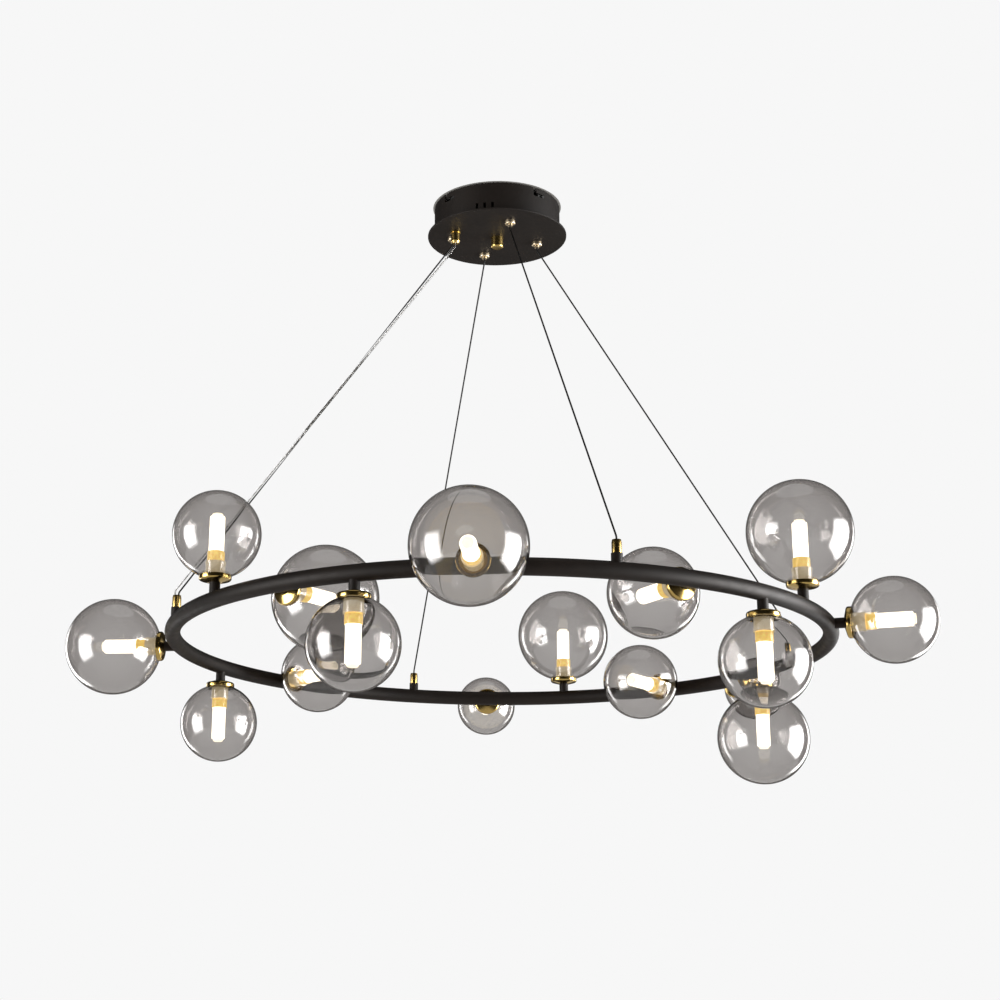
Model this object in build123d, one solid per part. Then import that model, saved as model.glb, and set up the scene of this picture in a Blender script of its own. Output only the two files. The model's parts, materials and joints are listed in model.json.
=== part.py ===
from build123d import *
import os
from math import cos, radians, sin, sqrt

# Orb chandelier: a ring of black tube on four wires, with sixteen lamp heads.
# Millimetres, +Z up. The origin is the middle of the ceiling bracket's top face, on the ceiling.
# A bearing of 0 degrees points along -Y, to the front, and grows towards +X.

# Ring
RING_RADIUS = 390.0  # centreline of the tube
RING_DROP = 571.0  # ceiling to the centreline
TUBE_RADIUS = 9.3
TUBE_WALL = 1.2
HARNESS_WIDTH = 5.0  # flat twin cable laid round inside the tube
HARNESS_THICKNESS = 2.2

# Lamp heads: bearing in degrees, direction from the ring, globe size
LAMPS = [
    (-52.3, "up", "medium"),
    (-92.7, "out", "large"),
    (-113.0, "down", "medium"),
    (-37.5, "in", "large"),
    (-22.0, "down", "medium"),
    (-131.3, "in", "medium"),
    (-3.4, "out", "large"),
    (182.3, "out", "small"),
    (166.5, "up", "extra"),
    (143.5, "in", "medium"),
    (31.0, "in", "medium"),
    (58.0, "up", "large"),
    (45.2, "down", "medium"),
    (119.7, "down", "large"),
    (72.5, "out", "medium"),
    (130.5, "out", "small"),
]
GLOBE_SMALL = 82.0
GLOBE_MEDIUM = 98.0
GLOBE_LARGE = 117.0
GLOBE_EXTRA = 126.0

# Stem between the ring and the dish
STEM_RADIUS = 6.0
STEM_LENGTH = 9.5  # ring surface to the dish's back
STEM_BORE_RADIUS = 2.9
NIPPLE_RADIUS = 4.0
NIPPLE_INTO_RING = 2.0
NIPPLE_INTO_HOLDER = 5.0

# Dish
DISH_RADIUS = 18.0
DISH_DEPTH = 8.2
DISH_WALL = 1.1
DISH_FLAT_RADIUS = 7.5
DISH_CONE_DEPTH = 3.0
DISH_CORNER = 2.5

# Glass globe
GLASS_WALL = 1.8
NECK_RADIUS = 16.4
NECK_END = 5.0  # from the dish's back to the neck's end
GLOBE_TO_RIM = 0.6

# Lamp holder
HOLDER_RADIUS = 10.8
HOLDER_END = 23.5  # from the dish's back to the holder's mouth
HOLDER_LIP_RADIUS = 11.3
HOLDER_LIP_LENGTH = 3.0
HOLDER_CAVITY_RADIUS = 7.0
HOLDER_CAVITY_DEPTH = 3.0
SLOT_PITCH = 9.0
PIN_THICKNESS = 0.8
PIN_WIDTH = 3.0
PIN_LENGTH = 12.2
PIN_CLEARANCE = 0.3
CLIP_WALL = 0.6

# Capsule lamp
CAPSULE_BASE_RADIUS = 9.6
CAPSULE_BASE_LENGTH = 11.2
CAPSULE_TUBE_RADIUS = 8.4
CAPSULE_TUBE_LENGTH = 40.0
CAPSULE_TIP_RADIUS = 6.0
CAPSULE_TIP_LENGTH = 3.0

# Canopy
DRUM_RADIUS = 80.6
DRUM_WALL = 1.2
DRUM_LIP = 14.0  # width of the lip that the plate is bolted to
CEILING_GAP = 0.5
PLATE_OVERHANG = 8.5  # plate beyond the drum
PLATE_THICKNESS = 2.0
PLATE_EDGE = 0.8
CANOPY_HEIGHT = 40.0  # ceiling to the plate's underside
PLATE_STUD_RADIUS = 2.0
PLATE_STUD_LENGTH = 8.0
PLATE_STUD_SINK = 1.0  # weld depth in the plate
PLATE_STUD_INSET = 8.6  # from the drum's outer face
PLATE_STUD_BEARING = 30.0
PLATE_NUT_ACROSS = 7.0
NUT_HEIGHT = 3.2
VENT_BEARINGS = [-18.0, -11.0, -4.0]
VENT_WIDTH = 3.2
VENT_HEIGHT = 9.0

# Ceiling bracket with its bayonet
BRACKET_GAP = 15.4  # disc to the drum's wall
BRACKET_THICKNESS = 2.0
LUG_WIDTH = 14.0
LUG_DEPTH = 14.0
LUG_CLEARANCE = 1.0
PIN_BEARING = 46.5
BAYONET_PIN_RADIUS = 2.0
BAYONET_PIN_DROP = 9.0
BAYONET_TWIST = 10.0  # degrees from the locked end of the slot to its entry
SCREW_SLOT_SPACING = 70.0
SCREW_SLOT_LENGTH = 12.0
SCREW_SLOT_WIDTH = 5.0
CABLE_HOLE_RADIUS = 10.0
CABLE_HOLE_OFFSET = 38.0

# Centre stud and nut
STUD_RADIUS = 3.0
STUD_HEAD_RADIUS = 4.5
STUD_HEAD_HEIGHT = 1.0
STUD_LENGTH = 51.5
LOCKNUT_HEIGHT = 5.0
LOCKNUT_ACROSS = 10.0
CENTRE_NUT_RADIUS = 8.0
CENTRE_NUT_HEIGHT = 14.0
CENTRE_NUT_CROWN = 2.5

# Wire grippers
GRIPPER_INSET = 26.6  # from the drum's outer face to the gripper's axis
GRIPPER_BEARINGS = [17.8, 107.8, 197.8]
SIDE_GRIPPER_OUTWARD = 3.0  # the left gripper stands aside for the cable gland
SIDE_GRIPPER_BEARING = -88.0
GRIPPER_RADIUS = 6.5
GRIPPER_HEIGHT = 4.5
GRIPPER_EDGE = 1.5
GRIPPER_NECK_RADIUS = 5.0
GRIPPER_NECK_LENGTH = 13.0
GRIPPER_STEP_DEPTH = 2.0  # plate's underside to the chamber's floor
GRIPPER_ROOF = 2.0
PLUNGER_RADIUS = 3.0
PLUNGER_FLANGE_RADIUS = 3.6
PLUNGER_FLANGE_HEIGHT = 3.0
PLUNGER_OUT = 2.5  # length that shows below the gripper's body
GRIPPER_NUT_ACROSS = 13.0

# Cable gland
GLAND_BEARING = -68.5
GLAND_NECK_RADIUS = 6.0
GLAND_NECK_LENGTH = 10.0
GLAND_RADIUS = 5.6
GLAND_HEIGHT = 10.5
GLAND_FLANGE = 1.0
GLAND_FLANGE_HEIGHT = 2.0
GLAND_CAP_HEIGHT = 5.5
GLAND_CAP_STRAIGHT = 3.0
GLAND_CAP_TAPER = 1.6
GLAND_NUT_ACROSS = 15.0
BLOCK_SIZE = (24.0, 16.0, 12.0)
BLOCK_PLACE = (-30.0, 20.0)
BLOCK_SCREW_RADIUS = 1.5
BLOCK_SCREW_DEPTH = 3.6

# Wires, cable and the bushes on the ring
WIRE_RADIUS = 1.0
WIRE_TAIL = 4.0
WIRE_BEND_RADIUS = 7.0
CABLE_RADIUS = 1.6
CABLE_BEND_RADIUS = 10.0
CABLE_LOOP_OUT = 9.0  # the cable's loop beside the terminal block
CABLE_LOOP_RISE = 6.0
CABLE_LOOP_BENDS = [4.0, 8.0]
CABLE_ABOVE_GLAND = 3.0
RUN_CLEARANCE = 0.3
BUSH_BEARINGS = [17.8, 107.8, 197.8]
CABLE_BUSH_BEARING = -72.2
BUSH_HEIGHT = 22.7  # ring's top to the collar's top
BASE_RADIUS = 6.0
BASE_HEIGHT = 8.5
BASE_SPIGOT_RADIUS = 5.0
BASE_BORE_RADIUS = 4.0
BASE_SPIGOT_SINK = 1.0  # past the tube's wall
COLLAR_RADIUS = 5.2
COLLAR_TAPER = 0.6
COLLAR_TAPER_LENGTH = 3.0
COLLAR_SPIGOT_LENGTH = 3.0
STOP_RADIUS = 1.7
STOP_LENGTH = 4.0
WIRE_IN_STOP = 1.0
WIRE_OFFSET = -2.0  # in the bush that also takes the cable
CABLE_OFFSET = 2.3

FIT = 0.05  # radial gap between pieces that are screwed or pressed together
OVERRUN = 1.0  # of a cutter past the face that it cuts

# Worked out from the sizes above
GLOBE_DIAMETERS = {
    "small": GLOBE_SMALL,
    "medium": GLOBE_MEDIUM,
    "large": GLOBE_LARGE,
    "extra": GLOBE_EXTRA,
}
DISH_BACK = TUBE_RADIUS + STEM_LENGTH  # from the ring's centreline, along the lamp's axis
DISH_RIM = DISH_BACK + DISH_DEPTH
PLATE_TOP = -CANOPY_HEIGHT + PLATE_THICKNESS
PLATE_BOTTOM = -CANOPY_HEIGHT
GRIPPER_BOTTOM = PLATE_BOTTOM - GRIPPER_HEIGHT
PLUNGER_BOTTOM = GRIPPER_BOTTOM - PLUNGER_OUT
GLAND_BOTTOM = PLATE_BOTTOM - GLAND_HEIGHT - GLAND_CAP_HEIGHT
RING_TOP = -RING_DROP + TUBE_RADIUS
BUSH_TOP = RING_TOP + BUSH_HEIGHT
BASE_TOP = RING_TOP + BASE_HEIGHT
DRUM_INNER = DRUM_RADIUS - DRUM_WALL
LIP_TOP = PLATE_TOP + DRUM_WALL
PLATE_RADIUS = DRUM_RADIUS + PLATE_OVERHANG
PLATE_STUD_CIRCLE = DRUM_RADIUS - PLATE_STUD_INSET
BRACKET_RADIUS = DRUM_INNER - BRACKET_GAP
GRIPPER_CIRCLE = DRUM_RADIUS - GRIPPER_INSET
SIDE_GRIPPER_CIRCLE = GRIPPER_CIRCLE + SIDE_GRIPPER_OUTWARD
GLAND_CIRCLE = SIDE_GRIPPER_CIRCLE
GRIPPER_FLOOR = PLATE_BOTTOM - GRIPPER_STEP_DEPTH
SLOT_HALF = BAYONET_PIN_RADIUS + PIN_CLEARANCE


def spot(radius, bearing, z=0.0):
    """A point at a bearing round the vertical axis."""
    return Vector(radius * sin(radians(bearing)), -radius * cos(radians(bearing)), z)


def outward(bearing):
    return spot(1.0, bearing)


def lamp_place(bearing, direction):
    """A local frame on the ring's centreline, with Z along the lamp's axis and X along the ring."""
    out = outward(bearing)
    along = Vector(cos(radians(bearing)), sin(radians(bearing)), 0)
    axes = {"up": Vector(0, 0, 1), "down": Vector(0, 0, -1), "out": out, "in": out * -1}
    return Plane(origin=spot(RING_RADIUS, bearing, -RING_DROP), x_dir=along, z_dir=axes[direction]).location


def rod(radius, low, high):
    """A round bar along Z between two heights."""
    return Pos(0, 0, low) * Cylinder(radius, high - low, align=(Align.CENTER, Align.CENTER, Align.MIN))


def hexagon(across, low, high):
    """A hexagonal bar along Z, by its size across flats."""
    outline = RegularPolygon(across / 2, 6, major_radius=False)
    return extrude(Pos(0, 0, low) * outline, high - low)


def turned(points):
    """A solid of revolution about Z from (radius, height) points joined by straight lines."""
    return revolve(make_face(Polyline([(r, 0, z) for r, z in points], close=True)), Axis.Z)


def ring_envelope(grow=0.0):
    return Pos(0, 0, -RING_DROP) * Torus(RING_RADIUS, TUBE_RADIUS + grow)


def save(name, solids):
    """Write one node, which may hold several separate solids."""
    flat = []
    for item in solids:
        flat.extend(item.solids())
    export_step(Compound(children=flat) if len(flat) > 1 else flat[0], f"parts/{name}.step")
    print(name, len(flat), round(sum(s.volume for s in flat), 2))


# Lamp heads ---------------------------------------------------------------------------------


def stem():
    """Stem along Z from the ring's centreline, before its saddle is cut."""
    return rod(STEM_RADIUS, 0.0, DISH_BACK)


def nipple():
    into_ring = TUBE_RADIUS - TUBE_WALL - NIPPLE_INTO_RING
    return rod(NIPPLE_RADIUS, into_ring, DISH_BACK + NIPPLE_INTO_HOLDER)


def lamp_stem(place, envelope):
    """Stem saddled on the ring, with the hollow nipple that joins the ring, stem, dish and holder."""
    body = place * stem() - envelope
    return body + place * nipple() - place * rod(STEM_BORE_RADIUS, 0.0, DISH_RIM + HOLDER_END)


def dish():
    """Shallow spun dish: flat centre, cone, rounded corner and a short upright rim."""
    slope = DISH_CONE_DEPTH / (DISH_RADIUS - DISH_FLAT_RADIUS)
    drop = DISH_WALL * sqrt(1 + slope * slope)
    inner_rim = DISH_RADIUS - DISH_WALL
    inner_corner = DISH_CONE_DEPTH - DISH_WALL * slope + drop
    centre, flat_edge = (0, 0, 0), (DISH_FLAT_RADIUS, 0, 0)
    corner, rim_edge = (DISH_RADIUS, 0, DISH_CONE_DEPTH), (DISH_RADIUS, 0, DISH_DEPTH)
    outside = FilletPolyline([centre, flat_edge, corner, rim_edge], radius=[DISH_CORNER, DISH_CORNER])
    inside = Polyline(
        (inner_rim, 0, DISH_DEPTH),
        (inner_rim, 0, inner_corner),
        (DISH_FLAT_RADIUS, 0, DISH_WALL),
        (0, 0, DISH_WALL),
    )
    rim = Line(outside @ 1, inside @ 0)
    middle = Line(inside @ 1, outside @ 0)
    bowl = revolve(make_face([outside, rim, inside, middle]), Axis.Z)
    return bowl - rod(NIPPLE_RADIUS + FIT, -OVERRUN, DISH_DEPTH)


def globe(diameter):
    """Blown sphere with a short neck, in Z from the dish's back."""
    radius = diameter / 2
    hollow = radius - GLASS_WALL
    bore = NECK_RADIUS - GLASS_WALL
    centre = DISH_DEPTH + GLOBE_TO_RIM + sqrt(radius**2 - DISH_RADIUS**2)
    neck_top = centre - sqrt(radius**2 - NECK_RADIUS**2)
    bore_top = centre - sqrt(hollow**2 - bore**2)
    outside = ThreePointArc((NECK_RADIUS, 0, neck_top), (radius, 0, centre), (0, 0, centre + radius))
    inside = ThreePointArc((0, 0, centre + hollow), (hollow, 0, centre), (bore, 0, bore_top))
    outline = [
        outside,
        Line((0, 0, centre + radius), (0, 0, centre + hollow)),
        inside,
        Line((bore, 0, bore_top), (bore, 0, NECK_END)),
        Line((bore, 0, NECK_END), (NECK_RADIUS, 0, NECK_END)),
        Line((NECK_RADIUS, 0, NECK_END), (NECK_RADIUS, 0, neck_top)),
    ]
    return revolve(make_face(outline), Axis.Z)


def slot_box(thickness, width, low, high, side):
    """A flat bar at one pin's place."""
    bar = Box(thickness, width, high - low, align=(Align.CENTER, Align.CENTER, Align.MIN))
    return Pos(side * SLOT_PITCH / 2, 0, low) * bar


def holder_shoulder():
    """Height at which the holder's full width clears the dish's cone."""
    slope = DISH_CONE_DEPTH / (DISH_RADIUS - DISH_FLAT_RADIUS)
    return 2 * DISH_WALL + (HOLDER_RADIUS - DISH_FLAT_RADIUS) * slope


def holder_floor():
    return NIPPLE_INTO_HOLDER + HOLDER_CAVITY_DEPTH


def lamp_holder():
    """Round holder screwed on the nipple, with a foot in the dish, a wiring cavity and pin slots."""
    body = rod(DISH_FLAT_RADIUS - RUN_CLEARANCE, DISH_WALL, HOLDER_END)
    body += rod(HOLDER_RADIUS, holder_shoulder(), HOLDER_END)
    body += rod(HOLDER_LIP_RADIUS, HOLDER_END - HOLDER_LIP_LENGTH, HOLDER_END)
    body -= rod(NIPPLE_RADIUS + FIT, 0.0, NIPPLE_INTO_HOLDER)
    body -= rod(HOLDER_CAVITY_RADIUS, NIPPLE_INTO_HOLDER, holder_floor())
    low = NIPPLE_INTO_HOLDER + HOLDER_CAVITY_DEPTH / 2
    for side in (-1, 1):
        body -= slot_box(clip_thickness(), clip_width(), low, HOLDER_END + OVERRUN, side)
    return body


def clip_thickness():
    return PIN_THICKNESS + 2 * (PIN_CLEARANCE + CLIP_WALL)


def clip_width():
    return PIN_WIDTH + 2 * (PIN_CLEARANCE + CLIP_WALL)


def clip_floor():
    return pin_end() - PIN_CLEARANCE


def pin_end():
    return HOLDER_END + PIN_CLEARANCE - PIN_LENGTH


def contact_clip(side):
    """Brass sleeve that lines one pin slot, open towards the lamp."""
    high = HOLDER_END - HOLDER_LIP_LENGTH
    outer = slot_box(clip_thickness() - 2 * FIT, clip_width() - 2 * FIT, holder_floor(), high, side)
    across = PIN_THICKNESS + 2 * PIN_CLEARANCE
    inner = slot_box(across, PIN_WIDTH + 2 * PIN_CLEARANCE, clip_floor(), high + OVERRUN, side)
    return outer - inner


def capsule():
    """Capsule lamp: two flat pins, a wider base, the lit tube and its stepped tip."""
    base = HOLDER_END + PIN_CLEARANCE
    tube = base + CAPSULE_BASE_LENGTH
    tip = tube + CAPSULE_TUBE_LENGTH
    end = tip + CAPSULE_TIP_LENGTH
    body = turned(
        [
            (0, base),
            (CAPSULE_BASE_RADIUS, base),
            (CAPSULE_BASE_RADIUS, tube),
            (CAPSULE_TUBE_RADIUS, tube),
            (CAPSULE_TUBE_RADIUS, tip),
            (CAPSULE_TIP_RADIUS, tip),
            (CAPSULE_TIP_RADIUS, end),
            (0, end),
        ]
    )
    for side in (-1, 1):
        body += slot_box(PIN_THICKNESS, PIN_WIDTH, pin_end(), base + OVERRUN, side)
    return body


def lamp_heads():
    envelope = ring_envelope()
    places = [lamp_place(bearing, direction) for bearing, direction, _ in LAMPS]
    on_dish = [place * Pos(0, 0, DISH_BACK) for place in places]
    save("lamp_stems", [lamp_stem(place, envelope) for place in places])
    dish_shape = dish()
    save("brass_dishes", [place * dish_shape for place in on_dish])
    holder_shape = lamp_holder()
    save("lamp_holders", [place * holder_shape for place in on_dish])
    clips = [contact_clip(-1), contact_clip(1)]
    save("contact_clips", [place * clip for place in on_dish for clip in clips])
    capsule_shape = capsule()
    globes = {size: globe(diameter) for size, diameter in GLOBE_DIAMETERS.items()}
    for number, (place, lamp) in enumerate(zip(on_dish, LAMPS), start=1):
        save(f"glass_globe_{number}", [place * globes[lamp[2]]])
        save(f"led_capsule_{number}", [place * capsule_shape])


# Ring ---------------------------------------------------------------------------------------


def bush_bearings():
    return BUSH_BEARINGS + [CABLE_BUSH_BEARING]


def ring_holes():
    """Bearing, direction and radius of each hole in the tube's wall, in order round the ring."""
    holes = [(bearing % 360, direction, NIPPLE_RADIUS) for bearing, direction, _ in LAMPS]
    holes += [(bearing % 360, "up", BASE_SPIGOT_RADIUS) for bearing in bush_bearings()]
    return sorted(holes)


def ring_tube():
    """Bent tube, made in stretches with one hole each that are then joined into the closed ring."""
    at_front = Plane(origin=(0, -RING_RADIUS, -RING_DROP), x_dir=(0, -1, 0), z_dir=(-1, 0, 0))
    section = at_front * (Circle(TUBE_RADIUS) - Circle(TUBE_RADIUS - TUBE_WALL))
    holes = ring_holes()
    bearings = [hole[0] for hole in holes]
    before = [bearings[-1] - 360] + bearings[:-1]
    after = bearings[1:] + [bearings[0] + 360]
    tube = None
    for (bearing, direction, radius), last, following in zip(holes, before, after):
        low = (last + bearing) / 2
        high = (bearing + following) / 2
        stretch = Rot(0, 0, low) * revolve(section, Axis.Z, high - low)
        stretch -= lamp_place(bearing, direction) * rod(radius, 0.0, 2 * TUBE_RADIUS)
        tube = stretch if tube is None else tube + stretch
    return tube


def harness():
    """Flat twin cable round the ring, with a lead up each stem into the holder's cavity."""
    half = HARNESS_WIDTH / 2
    band = Pos(0, 0, -RING_DROP - HARNESS_THICKNESS / 2) * (
        rod(RING_RADIUS + half, 0.0, HARNESS_THICKNESS) - rod(RING_RADIUS - half, 0.0, HARNESS_THICKNESS)
    )
    side = 2 * (STEM_BORE_RADIUS - RUN_CLEARANCE) / sqrt(2)
    length = DISH_BACK + NIPPLE_INTO_HOLDER
    lead = Box(side, side, length, align=(Align.CENTER, Align.CENTER, Align.MIN))
    for bearing, direction, _ in LAMPS:
        band += lamp_place(bearing, direction) * lead
    return band


def bush_base(bearing, envelope):
    """Black base brazed on the ring's top, with a spigot through the tube's wall."""
    foot = Pos(spot(RING_RADIUS, bearing, -RING_DROP)) * rod(BASE_RADIUS, 0.0, TUBE_RADIUS + BASE_HEIGHT)
    foot -= envelope
    spigot_low = TUBE_RADIUS - TUBE_WALL - BASE_SPIGOT_SINK
    spigot = rod(BASE_SPIGOT_RADIUS, spigot_low, TUBE_RADIUS + BASE_HEIGHT)
    foot += Pos(spot(RING_RADIUS, bearing, -RING_DROP)) * spigot
    bore = rod(BASE_BORE_RADIUS, 0.0, TUBE_RADIUS + 2 * BASE_HEIGHT)
    return foot - Pos(spot(RING_RADIUS, bearing, -RING_DROP)) * bore


def bush_collar(bearing, holes):
    """Brass collar with a tapered top and a spigot in the base; holes are (offset, radius) pairs."""
    body = turned(
        [
            (0, BASE_TOP - COLLAR_SPIGOT_LENGTH),
            (BASE_BORE_RADIUS - FIT, BASE_TOP - COLLAR_SPIGOT_LENGTH),
            (BASE_BORE_RADIUS - FIT, BASE_TOP),
            (COLLAR_RADIUS, BASE_TOP),
            (COLLAR_RADIUS, BUSH_TOP - COLLAR_TAPER_LENGTH),
            (COLLAR_RADIUS - COLLAR_TAPER, BUSH_TOP),
            (0, BUSH_TOP),
        ]
    )
    body = Pos(spot(RING_RADIUS, bearing)) * body
    for offset, radius in holes:
        body -= Pos(spot(RING_RADIUS + offset, bearing)) * rod(radius, RING_TOP, BUSH_TOP + OVERRUN)
    return body


def ring_parts():
    save("ring_tube", [ring_tube()])
    save("ring_harness", [harness()])
    envelope = ring_envelope()
    save("bush_bases", [bush_base(bearing, envelope) for bearing in bush_bearings()])
    wire_hole = WIRE_RADIUS + RUN_CLEARANCE
    cable_hole = CABLE_RADIUS + RUN_CLEARANCE
    collars = [bush_collar(bearing, [(0.0, wire_hole)]) for bearing in BUSH_BEARINGS]
    collars.append(bush_collar(CABLE_BUSH_BEARING, [(WIRE_OFFSET, wire_hole), (CABLE_OFFSET, cable_hole)]))
    save("bush_collars", collars)


# Wires and cable ----------------------------------------------------------------------------


def bent_line(points, radius, bend):
    """A round bar along straight runs joined by tangent arcs of one radius."""
    path = FilletPolyline(points, radius=bend)
    section = Plane(origin=path @ 0, z_dir=path % 0) * Circle(radius)
    return sweep(section, path=path)


def wire_route(circle, bearing, bush_bearing, offset):
    """From the tail above the gripper, out of the plunger and down to the stop in the bush."""
    lead_in = WIRE_BEND_RADIUS / 2
    top = spot(circle, bearing, PLATE_BOTTOM + GRIPPER_NECK_LENGTH + WIRE_TAIL)
    leave = spot(circle, bearing, PLUNGER_BOTTOM - lead_in)
    enter = spot(RING_RADIUS + offset, bush_bearing, BUSH_TOP + lead_in)
    end = spot(RING_RADIUS + offset, bush_bearing, BASE_TOP - COLLAR_SPIGOT_LENGTH - WIRE_IN_STOP)
    return [top, leave, enter, end]


def stopped_wire(circle, bearing, bush_bearing, offset):
    route = wire_route(circle, bearing, bush_bearing, offset)
    wire = bent_line(route, WIRE_RADIUS, WIRE_BEND_RADIUS)
    stop_top = BASE_TOP - COLLAR_SPIGOT_LENGTH
    stop = rod(STOP_RADIUS, stop_top - STOP_LENGTH, stop_top)
    return wire + Pos(spot(RING_RADIUS + offset, bush_bearing)) * stop


def grippers():
    """Circle radius and bearing of each gripper, with the bush bearing and offset of its wire."""
    plain = [(GRIPPER_CIRCLE, g, b, 0.0) for g, b in zip(GRIPPER_BEARINGS, BUSH_BEARINGS)]
    return plain + [(SIDE_GRIPPER_CIRCLE, SIDE_GRIPPER_BEARING, CABLE_BUSH_BEARING, WIRE_OFFSET)]


def power_cable():
    """Clear cable from the terminal block through the gland and down into the ring."""
    lead_in = CABLE_BEND_RADIUS / 2
    block = Vector(BLOCK_PLACE[0] - BLOCK_SIZE[0] / 2, BLOCK_PLACE[1], PLATE_TOP + BLOCK_SIZE[2] / 2)
    neck_top = PLATE_BOTTOM + GLAND_NECK_LENGTH
    above = spot(GLAND_CIRCLE, GLAND_BEARING, neck_top + lead_in + CABLE_ABOVE_GLAND)
    points = [
        block,
        Vector(block.X - CABLE_LOOP_OUT, block.Y, block.Z + CABLE_LOOP_RISE),
        Vector(above.X, above.Y, above.Z + CABLE_LOOP_RISE),
        spot(GLAND_CIRCLE, GLAND_BEARING, GLAND_BOTTOM - lead_in),
        spot(RING_RADIUS + CABLE_OFFSET, CABLE_BUSH_BEARING, BUSH_TOP + lead_in),
        spot(RING_RADIUS + CABLE_OFFSET, CABLE_BUSH_BEARING, -RING_DROP + HARNESS_THICKNESS / 2),
    ]
    return bent_line(points, CABLE_RADIUS, CABLE_LOOP_BENDS + 2 * [CABLE_BEND_RADIUS])


def wires_and_cable():
    save("suspension_wires", [stopped_wire(*item) for item in grippers()])
    save("power_cable", [power_cable()])


# Canopy -------------------------------------------------------------------------------------


def bayonet_slot():
    """L-shaped cutter at bearing 0: a level foot with the pin at its end and a leg up to the rim."""
    reach = 3 * DRUM_WALL
    pin = Rot(90, 0, 0) * Cylinder(SLOT_HALF, reach)
    at_pin = Pos(0, -DRUM_RADIUS, -BAYONET_PIN_DROP) * pin
    entry = Rot(0, 0, -BAYONET_TWIST) * at_pin
    low = -BAYONET_PIN_DROP - SLOT_HALF
    high = -BAYONET_PIN_DROP + SLOT_HALF
    foot = rod(DRUM_RADIUS + reach, low, high) - rod(DRUM_INNER - reach, low, high)
    foot &= wedge(-BAYONET_TWIST, 0.0, low, high)
    leg = Box(2 * SLOT_HALF, reach, BAYONET_PIN_DROP, align=(Align.CENTER, Align.CENTER, Align.MIN))
    leg = Rot(0, 0, -BAYONET_TWIST) * Pos(0, -DRUM_RADIUS, -BAYONET_PIN_DROP) * leg
    return at_pin + entry + foot + leg


def wedge(start, end, low, high):
    """A slice of a disc between two bearings, wide enough for the whole canopy."""
    far = 2 * DRUM_RADIUS
    corners = [Vector(0, 0, low), spot(far, start, low), spot(far, end, low)]
    return extrude(make_face(Polyline(corners, close=True)), high - low, dir=(0, 0, 1))


def canopy_drum():
    """Spun drum, open to the ceiling, with a lip inside its lower edge."""
    drum = turned(
        [
            (DRUM_RADIUS - DRUM_LIP, PLATE_TOP),
            (DRUM_RADIUS, PLATE_TOP),
            (DRUM_RADIUS, -CEILING_GAP),
            (DRUM_INNER, -CEILING_GAP),
            (DRUM_INNER, LIP_TOP),
            (DRUM_RADIUS - DRUM_LIP, LIP_TOP),
        ]
    )
    slot = bayonet_slot()
    for quarter in range(4):
        drum -= Rot(0, 0, PIN_BEARING + 90 * quarter) * slot
    for place in plate_stud_places():
        drum -= Pos(place) * rod(PLATE_STUD_RADIUS + RUN_CLEARANCE, PLATE_BOTTOM, 0.0)
    vent = Box(VENT_WIDTH, 4 * DRUM_WALL, VENT_HEIGHT, align=(Align.CENTER, Align.CENTER, Align.MIN))
    for bearing in VENT_BEARINGS:
        drum -= Rot(0, 0, bearing) * Pos(0, -DRUM_RADIUS, LIP_TOP + DRUM_WALL) * vent
    return drum


def canopy_plate():
    """Round flange under the drum, with a softened edge and four welded studs."""
    plate = rod(PLATE_RADIUS, PLATE_BOTTOM, PLATE_TOP)
    plate = fillet(plate.edges().filter_by(GeomType.CIRCLE).sort_by(Axis.Z)[0], PLATE_EDGE)
    low = PLATE_BOTTOM - OVERRUN
    for circle, bearing, _, _ in grippers():
        plate -= Pos(spot(circle, bearing)) * rod(GRIPPER_NECK_RADIUS + FIT, low, 0.0)
    plate -= Pos(spot(GLAND_CIRCLE, GLAND_BEARING)) * rod(GLAND_NECK_RADIUS + FIT, low, 0.0)
    plate -= rod(STUD_RADIUS + RUN_CLEARANCE, low, 0.0)
    stud = rod(PLATE_STUD_RADIUS, PLATE_TOP - PLATE_STUD_SINK, PLATE_TOP + PLATE_STUD_LENGTH)
    for place in plate_stud_places():
        plate += Pos(place) * stud
    return plate


def plate_stud_places():
    return [spot(PLATE_STUD_CIRCLE, PLATE_STUD_BEARING + 90 * quarter) for quarter in range(4)]


def nut(place, across, bore, low, height):
    high = low + height
    return Pos(place) * (hexagon(across, low, high) - rod(bore, low - OVERRUN, high + OVERRUN))


def canopy_nuts():
    """Nuts inside the canopy: on the plate's studs, the grippers and the gland."""
    bore = PLATE_STUD_RADIUS + FIT
    nuts = [nut(p, PLATE_NUT_ACROSS, bore, LIP_TOP, NUT_HEIGHT) for p in plate_stud_places()]
    for circle, bearing, _, _ in grippers():
        place = spot(circle, bearing)
        nuts.append(nut(place, GRIPPER_NUT_ACROSS, GRIPPER_NECK_RADIUS + FIT, PLATE_TOP, NUT_HEIGHT))
    gland = spot(GLAND_CIRCLE, GLAND_BEARING)
    nuts.append(nut(gland, GLAND_NUT_ACROSS, GLAND_NECK_RADIUS + FIT, PLATE_TOP, NUT_HEIGHT))
    return nuts


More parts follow.
